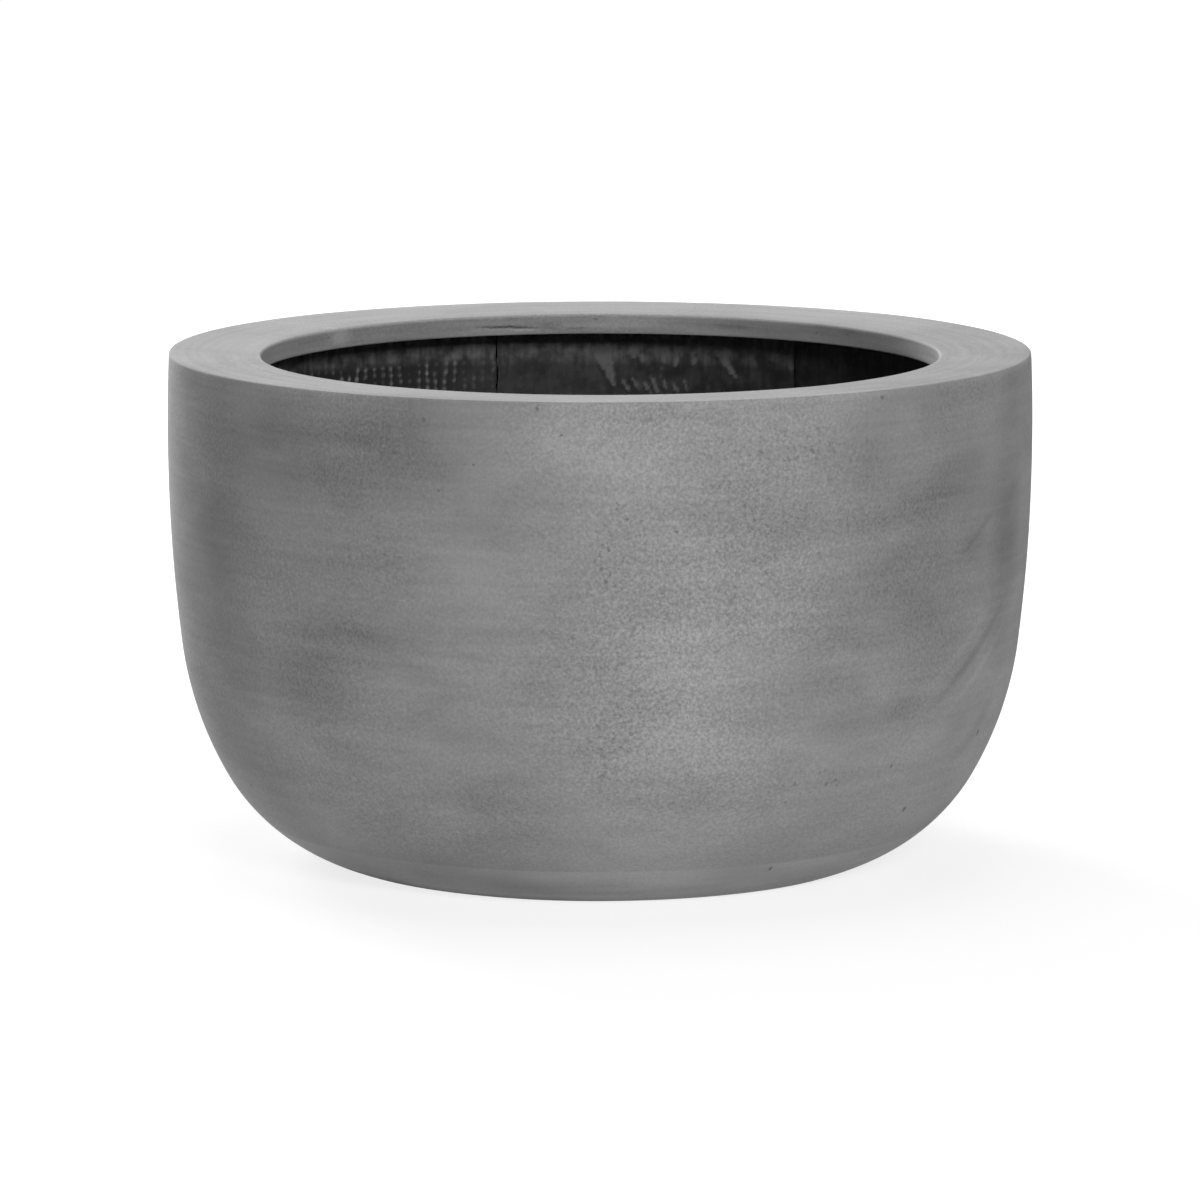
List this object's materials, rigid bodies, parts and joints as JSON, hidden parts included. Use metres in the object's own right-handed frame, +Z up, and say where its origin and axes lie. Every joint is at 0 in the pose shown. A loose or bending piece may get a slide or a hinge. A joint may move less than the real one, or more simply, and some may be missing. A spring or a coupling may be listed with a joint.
{
  "type": "bowl planter",
  "caption": "Large round floor planter bowl in fibre-reinforced cement, with a broad turned-in rim, glass-mesh lined hollow and a rubber drain plug that pulls out.",
  "frame": {"origin": "on the bowl's axis, in the plane of the foot ring that it stands on", "axes": "+Z up along the bowl's axis, out of the mouth; the picture looks along +Y with +X to its right"},
  "size_m": [0.45, 0.45, 0.265],
  "materials": {
    "fibre_cement": "matte",
    "laminate_resin": "satin",
    "glass_mesh": "satin",
    "plug_rubber": "matte"
  },
  "bodies": {
    "bowl": {"outer_shell": "fibre_cement", "backing_laminate": "laminate_resin", "floor_mesh_disc": "glass_mesh", "wall_mesh_strip_1": "glass_mesh", "wall_mesh_strip_2": "glass_mesh", "wall_mesh_strip_3": "glass_mesh", "wall_mesh_strip_4": "glass_mesh", "wall_mesh_strip_5": "glass_mesh", "wall_mesh_strip_6": "glass_mesh", "wall_mesh_strip_7": "glass_mesh", "wall_mesh_strip_8": "glass_mesh"},
    "drain_plug": {"drain_plug": "plug_rubber"}
  },
  "joints": [
    {"name": "plug_lift", "type": "slide", "parent": "bowl", "child": "drain_plug", "axis": [0, 0, 1], "range_m": [0, 0.27]}
  ]
}
